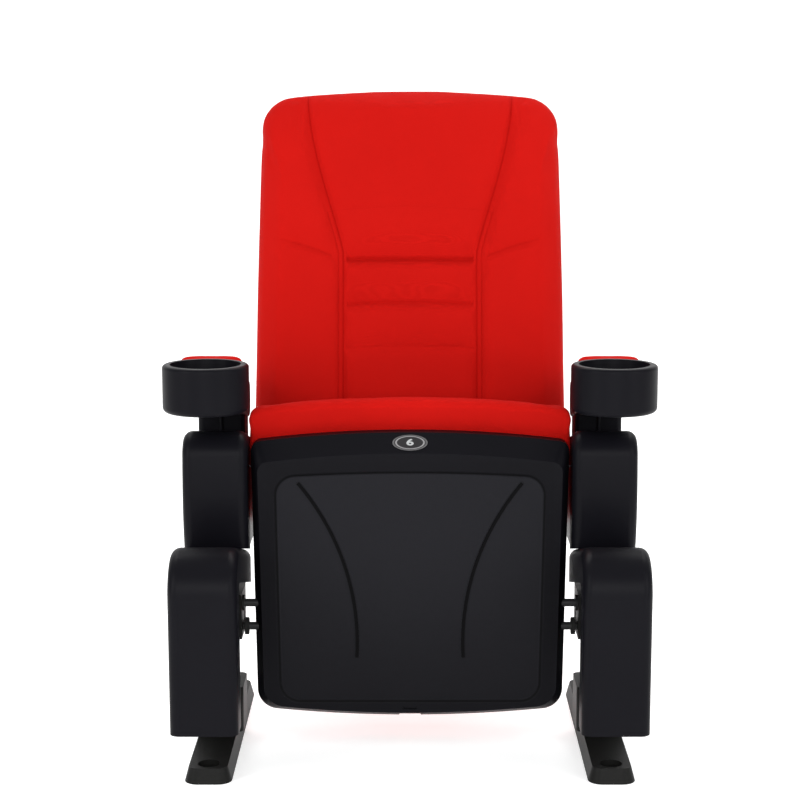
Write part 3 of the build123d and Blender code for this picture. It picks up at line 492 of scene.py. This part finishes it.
def lofted_form(name, outline_at, profile):
    """A closed mesh through one outline per (inset, level) pair of the profile."""
    shape = bmesh.new()
    rings = []
    for inset, level in profile:
        rings.append([shape.verts.new((x, s, level)) for x, s in outline_at(inset)])
    count = len(rings[0])
    for lower, upper in zip(rings, rings[1:]):
        for i in range(count):
            j = (i + 1) % count
            shape.faces.new((lower[i], lower[j], upper[j], upper[i]))
    shape.faces.new(list(reversed(rings[0])))
    shape.faces.new(rings[-1])
    mesh = bpy.data.meshes.new(name)
    shape.to_mesh(mesh)
    shape.free()
    piece = bpy.data.objects.new(name, mesh)
    bpy.context.scene.collection.objects.link(piece)
    return piece


print("loft ready, with", 4 * (corner_steps + side_steps), "points round each outline")

# %% Points and even squares
settle_share = 0.5
settle_rounds = 4


def points_of(piece):
    flat = np.empty(3 * len(piece.data.vertices))
    piece.data.vertices.foreach_get("co", flat)
    return flat.reshape(-1, 3)


def move_points(piece, points):
    piece.data.vertices.foreach_set("co", np.asarray(points).ravel())
    piece.data.update()


def apply_modifiers(piece):
    """Keeps what the modifiers make as the piece's own mesh."""
    finished = piece.evaluated_get(bpy.context.evaluated_depsgraph_get())
    mesh = bpy.data.meshes.new_from_object(finished)
    piece.modifiers.clear()
    piece.data = mesh


def even_out(piece, voxel):
    squares = piece.modifiers.new("squares", "REMESH")
    squares.mode = "VOXEL"
    squares.voxel_size = voxel
    settle = piece.modifiers.new("settle", "SMOOTH")
    settle.factor = settle_share
    settle.iterations = settle_rounds
    apply_modifiers(piece)


print("cushion helpers ready")

# %% [markdown]
# ## Blowing a cushion up
# Cloth with a little pressure inside swells most where it is held least. The swelling is limited, so a
# cushion keeps to the space it has between its neighbours.

# %% Blow up
last_frame = 20
cover_pressure = 4.0
least_hold = 0.01
no_reach = 1e-9


def blow_up(piece, held, limit):
    """held gives each point's hold, 1 where it can't move; limit is the most that any point swells."""
    start = points_of(piece)
    grip = piece.vertex_groups.new(name="held")
    for index in np.flatnonzero(held > least_hold):
        grip.add([int(index)], float(held[index]), "REPLACE")
    cloth = piece.modifiers.new("cover", "CLOTH")
    cloth.settings.use_pressure = True
    cloth.settings.uniform_pressure_force = cover_pressure
    cloth.settings.vertex_group_mass = "held"
    cloth.settings.effector_weights.gravity = 0
    cloth.point_cache.frame_start = 1
    cloth.point_cache.frame_end = last_frame
    for step in range(1, last_frame + 1):
        bpy.context.scene.frame_set(step)
    apply_modifiers(piece)
    bpy.context.scene.frame_set(1)
    swell = points_of(piece) - start
    reach = np.linalg.norm(swell, axis=1, keepdims=True) + no_reach
    move_points(piece, start + swell * (limit * np.tanh(reach / limit) / reach))
    piece.vertex_groups.clear()
    print(piece.name, "swelled up to", round(float(reach.max()) * 1000, 1), "mm before the limit")


def refine(piece):
    squares = piece.modifiers.new("finer", "SUBSURF")
    squares.levels = squares.render_levels = 1
    apply_modifiers(piece)
    for polygon in piece.data.polygons:
        polygon.use_smooth = True


def fit(piece, low, high):
    """Stretches the points a little, axis by axis, so that they just fill a box."""
    points = points_of(piece)
    now_low, now_high = points.min(axis=0), points.max(axis=0)
    share = (points - now_low) / (now_high - now_low)
    move_points(piece, low + share * (np.array(high) - low))


print("cloth runs for", last_frame, "frames")

# %% Sewing, dressing and soft curves
def note_lines(piece, seam=no_seam_near, row=no_seam_near, tuck=no_seam_near):
    """Stores how far each point is from the sewn lines, for the finish to paint shade along them."""
    count = len(piece.data.vertices)
    for name, distance in (("seam_gap", seam), ("row_gap", row), ("tuck_gap", tuck)):
        stored = piece.data.attributes.new(name, "FLOAT", "POINT")
        stored.data.foreach_set("value", np.broadcast_to(distance, count).astype(np.float32))


def dress(piece, local_frame, body, *nodes):
    """Puts a finished cushion in the chair in place of its plain solid."""
    piece.data.transform(local_frame)
    paint(piece, upholstery)
    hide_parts(*nodes)
    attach(piece, body)


def axes_at(origin, x_axis, y_axis, z_axis):
    turn = Matrix((x_axis, y_axis, z_axis)).transposed().to_4x4()
    return Matrix.Translation(origin) @ turn


def smooth_step(value):
    t = np.clip(value, 0, 1)
    return t * t * (3 - 2 * t)


def held_on_board(out, top, fade):
    """0 from the level top upwards, and 1 where it is lower by fade or more."""
    return smooth_step((top - out) / fade)


def bell(distance, width):
    return np.exp(-((distance / width) ** 2))


def slow_waves(points, size, seed):
    """Gentle unevenness, from -1 to 1, over lengths of about that size."""
    offset = Vector((seed, 2 * seed, 3 * seed))
    return np.array([noise.noise(Vector(point) / size + offset) for point in points])


def uneven(points, waves):
    """The sum of slow waves, given as (height, size, seed)."""
    return sum(height * slow_waves(points, size, seed) for height, size, seed in waves)


print("cloth helpers ready")

# %% [markdown]
# ## The back cushion
# Two long seams run down the back and draw in towards the waist. Between them three channels are sewn
# across, and a pull crease crosses each wing. The seams could be cut as thin slots, but real ones are
# valleys with the foam rolling into them, so each is a wide soft valley with a narrow line in its floor.

# %% Back: its own frame and outline
back_lean = math.radians(12.5)
back_thickness = 0.065
back_length = 0.705
back_half_low = 0.2515
back_half_high = 0.2395
back_waist_share = 0.97
back_bow = 0.014
back_taper = 0.150
back_corner_high = 0.046
back_corner_low = 0.034
back_top_arch = 0.017
board_front = Vector((0, 0.08606, 0.300))
back_up = Vector((0, math.sin(back_lean), math.cos(back_lean)))
back_out = Vector((0, -math.cos(back_lean), math.sin(back_lean)))
back_origin = board_front - back_out * back_thickness
back_frame = axes_at(back_origin, Vector((1, 0, 0)), back_up, back_out)


def back_outline(inset):
    ring = rounded_outline(
        back_half_low - inset, back_half_high - inset, inset, back_length - inset,
        back_corner_low, back_corner_high,
    )
    shaped = []
    for x, s in ring:
        rise = 2 * s / back_length - 1
        waist = 1 - (1 - back_waist_share) * max(0, 1 - s / back_taper)
        bow = 1 + back_bow * (1 - rise**2)
        arch = back_top_arch * (x / back_half_high) ** 2 * max(0, rise)
        shaped.append((x * waist * bow, s - arch))
    return shaped


print("back origin", [round(v, 4) for v in back_origin])

# %% Back: sewn lines, as functions of the place on its face
seam_waist_x = 0.1075
seam_bend_s = 0.430
seam_flare = (-0.05, 0.03, 0.078, 0)
seam_ease = 0.04
channel_depth = 0.008
channel_places = ((0.4250, 0.0010, channel_depth), (0.3547, 0.0040, 0.0056), (0.2835, 0.0035, 0.0024))
wing_start_x = 0.121
wing_span = 0.112
wing_height = 0.427
wing_rise = 0.048
wing_droop = 0.015


def seam_x(s):
    climb = np.clip((s - seam_bend_s) / (back_length - seam_bend_s), 0, 1)
    return seam_waist_x + np.polyval(seam_flare, climb**2 / (climb + seam_ease))


def seam_gap(x, s):
    step = 0.002
    slope = (seam_x(s + step) - seam_x(s - step)) / (2 * step)
    return (np.abs(x) - seam_x(s)) / np.sqrt(1 + slope**2)


def channel_gap(x, s, height, arch):
    return s - height + arch * (x / seam_waist_x) ** 2


def wing_gap(x, s):
    along = (np.abs(x) - wing_start_x) / wing_span
    return s - (wing_height + wing_rise * along - wing_droop * along**2), along


print("seam at the top", round(float(seam_x(back_length)), 4))

# %% Back: blow up
back_profile = (
    (0.006, 0.0004), (0.003, 0.006), (0.001, 0.016), (0.0005, 0.028), (0.002, 0.040),
    (0.007, 0.050), (0.017, 0.0565), (0.034, 0.0600), (0.070, 0.0610),
)
back_voxel = 0.005
back_swell = 0.007
face_start = 0.045
face_fade = 0.012
sewn_hold_width = 0.005
channel_end_fade = 0.006
board_hold_top = 0.006
board_hold_fade = 0.004

back_cushion = lofted_form("back_upholstery", back_outline, back_profile)
even_out(back_cushion, back_voxel)
x, s, out = points_of(back_cushion).T
facing = smooth_step((out - face_start) / face_fade)
seams = bell(seam_gap(x, s), sewn_hold_width)
between = smooth_step((seam_waist_x - np.abs(x)) / channel_end_fade)
channels = sum(
    bell(channel_gap(x, s, height, arch), sewn_hold_width) * between for height, arch, _ in channel_places
)
board = held_on_board(out, board_hold_top, board_hold_fade)
held = np.clip(np.maximum(board, facing * np.maximum(seams, channels)), 0, 1)
blow_up(back_cushion, held, back_swell)
refine(back_cushion)
back_half = max(x for x, s in back_outline(0))
fit(back_cushion, (-back_half, 0, 0), (back_half, back_length, back_thickness))
print("back half width", round(back_half, 4))

# %% Back: press the seams in
pressed_start = 0.030
pressed_fade = 0.022
valley_depth = 0.0022
valley_width = 0.009
groove_depth = 0.0028
groove_width = 0.0032
row_depth = 0.0009
row_width = 0.0026
stitch_row_top = 0.540
stitch_row_fade = 0.04

grid = points_of(back_cushion)
x, s, out = grid.T
facing = smooth_step((out - pressed_start) / pressed_fade)
seam = seam_gap(x, s)
sink = valley_depth * bell(seam, valley_width) + groove_depth * bell(seam, groove_width)
stitched = smooth_step((stitch_row_top - s) / stitch_row_fade)
sink += row_depth * bell(seam - stitch_row_offset, row_width) * stitched
second_row = seam - stitch_row_offset + no_seam_near * (1 - stitched)
print("deepest seam", round(float(sink.max()) * 1000, 1), "mm")

# %% Back: press the channels and creases in
inside_fade = 0.010
roll_above = 0.024
roll_below = 0.009
channel_groove_share = 0.35
shallow_faintness = 0.6
crease_depth = 0.0030
crease_above = 0.015
crease_below = 0.006
crease_start_fade = 0.06
crease_end = 1.04
crease_end_fade = 0.5
crease_faintness = 0.0022
crease_end_faintness = 0.0044

tuck = np.full(len(grid), no_seam_near)
inside = smooth_step((seam_x(s) - np.abs(x)) / inside_fade)
for height, arch, depth in channel_places:
    gap = channel_gap(x, s, height, arch)
    above, below = depth * bell(gap, roll_above), depth * bell(gap, roll_below)
    sink += np.where(gap > 0, above, below) * inside
    sink += channel_groove_share * depth * bell(gap, groove_width) * inside
    near = np.abs(gap) + no_seam_near * (inside < 0.5)
    tuck = np.minimum(tuck, near + shallow_faintness * (channel_depth - depth))
gap, along = wing_gap(x, s)
fade = smooth_step(along / crease_start_fade) * smooth_step((crease_end - along) / crease_end_fade)
sink += crease_depth * np.where(gap > 0, bell(gap, crease_above), bell(gap, crease_below)) * fade
tuck = np.minimum(tuck, np.abs(gap) + crease_faintness + crease_end_faintness * (1 - fade))
print("deepest line", round(float(sink.max()) * 1000, 1), "mm")

# %% Back: crown it and dress the chair
back_crown = 0.004
crown_fade = 0.1
back_waves = ((0.0009, 0.09, 3.1), (0.0005, 0.035, 7.7))
least_facing = 0.3

crown = back_crown * (1 - (x / back_half) ** 2) * smooth_step((back_length - s) / crown_fade)
grid[:, 2] = out + facing * (crown + uneven(grid, back_waves) - sink)
move_points(back_cushion, grid)
on_face = facing > least_facing
# The stored distances let the finish paint shade along the seams, stitch rows, channels and creases.
note_lines(back_cushion, *(np.where(on_face, line, no_seam_near) for line in (seam, second_row, tuck)))
dress(back_cushion, back_frame, "frame", "back_cushion")
print("back cushion points", len(back_cushion.data.vertices))

# %% [markdown]
# ## The seat cushion
# The seat is shown folded up, so the photograph sees only its front edge, over the black pan. Its sitting
# face is plain and crowned. It is made as the back is, in a frame with the sitting face outwards.

# %% Seat cushion: frame and outline
seat_low, seat_high = (Vector(corner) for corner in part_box("seat_cushion"))
seat_thickness = seat_high.y - seat_low.y
seat_half_front = seat_high.x
seat_half_rear = 0.233
seat_bottom = seat_low.z
seat_top = seat_high.z
seat_front_arch = 0.015
seat_rear_arch = 0.013
seat_corner_front = 0.016
seat_corner_rear = 0.032
seat_middle = (seat_top + seat_bottom) / 2
seat_reach = (seat_top - seat_bottom) / 2
seat_origin = Vector((0, seat_low.y, 0))
seat_frame = axes_at(seat_origin, Vector((-1, 0, 0)), Vector((0, 0, 1)), Vector((0, 1, 0)))


def seat_outline(inset):
    ring = rounded_outline(
        seat_half_rear - inset, seat_half_front - inset, seat_bottom + inset, seat_top - inset,
        seat_corner_rear, seat_corner_front,
    )
    shaped = []
    for x, s in ring:
        side = (x / seat_half_front) ** 2
        rise = (s - seat_middle) / seat_reach
        shaped.append((x, s - side * (seat_front_arch * max(0, rise) - seat_rear_arch * max(0, -rise))))
    return shaped


print("seat thickness", round(seat_thickness, 4))

# %% Seat cushion: blow up, spread its front edge and dress the chair
seat_profile = (
    (0.0022, 0.0003), (0.0010, 0.008), (0.0004, 0.022), (0.0008, 0.040), (0.003, 0.056),
    (0.009, 0.068), (0.021, 0.0755), (0.042, 0.0790), (0.080, 0.0800),
)
seat_voxel = 0.0055
seat_swell = 0.006
front_spreads = ((0.010, 0.430, 0.02), (0.007, 0.475, 0.016))
seat_free_height = 0.02
seat_waves = ((0.0010, 0.08, 5.3), (0.0005, 0.03, 9.1))

seat_cushion = lofted_form("seat_upholstery", seat_outline, seat_profile)
even_out(seat_cushion, seat_voxel)
out = points_of(seat_cushion)[:, 2]
blow_up(seat_cushion, held_on_board(out, board_hold_top, board_hold_fade), seat_swell)
refine(seat_cushion)
fit(seat_cushion, (-seat_half_front, seat_bottom, 0), (seat_half_front, seat_top, seat_thickness))
grid = points_of(seat_cushion)
s = grid[:, 1]
spread = sum(share * smooth_step((s - start) / length) for share, start, length in front_spreads)
grid[:, 0] *= 1 + spread
free = smooth_step(grid[:, 2] / seat_free_height)
waves = uneven(grid, seat_waves)
away = grid - np.array((0, seat_middle, seat_thickness / 2))
grid += away / np.linalg.norm(away, axis=1, keepdims=True) * (free * waves)[:, None]
move_points(seat_cushion, grid)
note_lines(seat_cushion)
dress(seat_cushion, seat_frame, "seat", "seat_cushion")
print("seat cushion points", len(seat_cushion.data.vertices))

# %% [markdown]
# ## Arm pads
# Each armrest has a narrow red pad behind its cup holder. It is thin, so its edge is one small roll.

# %% Arm pads
arm_slope = math.radians(13)
pad_front_half = 0.0447
pad_rear_half = 0.0354
pad_thickness = 0.0153
pad_corner = 0.012
pad_profile = (
    (0.0022, 0.0), (0.0012, 0.0035), (0.0014, 0.0075), (0.0034, 0.0110), (0.0085, 0.0132), (0.0160, 0.0140),
)
pad_voxel = 0.003
pad_swell = 0.0024
pad_hold_top = 0.004
pad_hold_fade = 0.002
arm_pads = []
for side in ("left", "right"):
    low, high = (Vector(corner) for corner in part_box(f"arm_pad_{side}"))
    fall = (high.y - low.y) * math.tan(arm_slope)
    along = Vector((0, math.cos(arm_slope), -math.sin(arm_slope)))
    normal = Vector((0, math.sin(arm_slope), math.cos(arm_slope)))
    base = Vector(((low.x + high.x) / 2, low.y, low.z + fall))
    length = (high.y - low.y) / math.cos(arm_slope)

    def pad_outline(inset):
        corner = pad_corner - inset / 2
        return rounded_outline(
            pad_front_half - inset, pad_rear_half - inset, inset, length - inset, corner, corner
        )

    pad = lofted_form(f"arm_pad_upholstery_{side}", pad_outline, pad_profile)
    even_out(pad, pad_voxel)
    out = points_of(pad)[:, 2]
    blow_up(pad, held_on_board(out, pad_hold_top, pad_hold_fade), pad_swell)
    refine(pad)
    fit(pad, (-pad_front_half, 0, 0), (pad_front_half, length, pad_thickness))
    note_lines(pad)
    dress(pad, axes_at(base, Vector((1, 0, 0)), along, normal), "frame", f"arm_pad_{side}")
    arm_pads.append(pad)
print("arm pads", [pad.name for pad in arm_pads])

# %% [markdown]
# ## The seat number
# The plate carries a plain number in pale print. Text is the quickest way to a clean digit, and it is
# turned into a thin mesh so that it can be packed and moved with the seat. The mesh is then made wider
# and lower, because the font's own digit is too slim for the plate.

# %% Seat number
text_size = 0.0165
text_weight = 0.0005
digit_scale = (1.35, 0.88, 1, 1)
print_thickness = 0.00012
plate_face = 0.001

number_text = bpy.data.curves.new("seat_number", "FONT")
number_text.body = "6"
number_text.size = text_size
number_text.extrude = print_thickness
number_text.offset = text_weight
number_text.align_x = "CENTER"
number_text.align_y = "CENTER"
template = bpy.data.objects.new("number_template", number_text)
bpy.context.scene.collection.objects.link(template)
bpy.context.view_layer.update()
digit_mesh = bpy.data.meshes.new_from_object(template)
bpy.data.objects.remove(template)
digit_mesh.transform(Matrix.Diagonal(digit_scale))
digit_origin = plate_middle + plate_normal * plate_face
digit_mesh.transform(axes_at(digit_origin, Vector((1, 0, 0)), plate_up, plate_normal))
seat_number = bpy.data.objects.new("seat_number", digit_mesh)
bpy.context.scene.collection.objects.link(seat_number)
pale_print = hard_finish(
    "pale_print", dark=(0.3, 0.31, 0.31), light=(0.42, 0.43, 0.43),
    gloss=(0.4, 0.55), grain=0.0006, depth=0.00002,
)
paint(seat_number, pale_print)
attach(seat_number, "seat")
print("number mesh points", len(digit_mesh.vertices))

# %% [markdown]
# ## Studio
# A white sweep runs under and behind the chair, and glows a little so that it stays white. Large soft
# lights left and right give the long quiet highlights on the black covers, and one in front lights the
# red face evenly. A weak one overhead and a strong one behind brighten the tops and the floor.

# %% Sweep
sweep_half_width = 9.0
sweep_front = -7.0
sweep_rear = 3.2
sweep_bend = 2.2
sweep_top = 8.0
bend_steps = 24
paper_glow = 0.46


def white_sweep():
    line = [(sweep_front, 0.0)]
    for step in range(bend_steps + 1):
        turn = math.pi / 2 * step / bend_steps
        line.append((sweep_rear + sweep_bend * math.sin(turn), sweep_bend * (1 - math.cos(turn))))
    line.append((sweep_rear + sweep_bend, sweep_top))
    shape = bmesh.new()
    rows = [[shape.verts.new((x, y, z)) for x in (-sweep_half_width, sweep_half_width)] for y, z in line]
    for near, far in zip(rows, rows[1:]):
        shape.faces.new((near[0], near[1], far[1], far[0])).smooth = True
    mesh = bpy.data.meshes.new("sweep")
    shape.to_mesh(mesh)
    shape.free()
    return bpy.data.objects.new("sweep", mesh)


sweep = white_sweep()
bpy.context.scene.collection.objects.link(sweep)
paper = hard_finish(
    "paper", dark=(0.86, 0.86, 0.86), light=(0.9, 0.9, 0.9),
    gloss=(0.85, 0.95), grain=0.004, depth=0.00002,
)
paper_shader = paper.node_tree.nodes["Principled BSDF"]
paper_shader.inputs["Emission Color"].default_value = (1, 1, 1, 1)
paper_shader.inputs["Emission Strength"].default_value = paper_glow
paint(sweep, paper)
sweep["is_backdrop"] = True
print("sweep faces", len(sweep.data.polygons))

# %% Lights
aim = Vector((0, 0, 0.5))
room_light = 0.5


def soft_light(name, place, width, height, power):
    light = bpy.data.lights.new(name, "AREA")
    light.shape = "RECTANGLE"
    light.size, light.size_y = width, height
    light.energy = power
    lamp = bpy.data.objects.new(name, light)
    lamp.location = place
    lamp.rotation_euler = (aim - Vector(place)).to_track_quat("-Z", "Y").to_euler()
    bpy.context.scene.collection.objects.link(lamp)


soft_light("left_box", (-2.6, -2.2, 1.5), width=1.0, height=2.0, power=42)
soft_light("right_box", (2.6, -2.2, 1.5), width=1.0, height=2.0, power=38)
soft_light("overhead", (0, -1.2, 3.2), width=2.6, height=2.2, power=8)
soft_light("front_box", (0, -3.6, 1.45), width=2.4, height=1.4, power=60)
soft_light("floor_wash", (0, 1.6, 3.6), width=5.0, height=1.5, power=120)
world = bpy.data.worlds.new("studio")
world.use_nodes = True
world.node_tree.nodes["Background"].inputs["Color"].default_value = (1, 1, 1, 1)
world.node_tree.nodes["Background"].inputs["Strength"].default_value = room_light
bpy.context.scene.world = world
bpy.context.scene.view_settings.view_transform = "Standard"

# %% [markdown]
# ## Size
# Both boxes, of the imported model and of the dressed chair, are printed. The dressed chair has to
# stay in the space of the imported model.

# %% Print the boxes
look_low, look_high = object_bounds()
boxes = {"cad": [list(cad_low), list(cad_high)], "visual": [list(look_low), list(look_high)]}
for name, (low, high) in boxes.items():
    print(name, [round(v, 4) for v in low], [round(v, 4) for v in high])
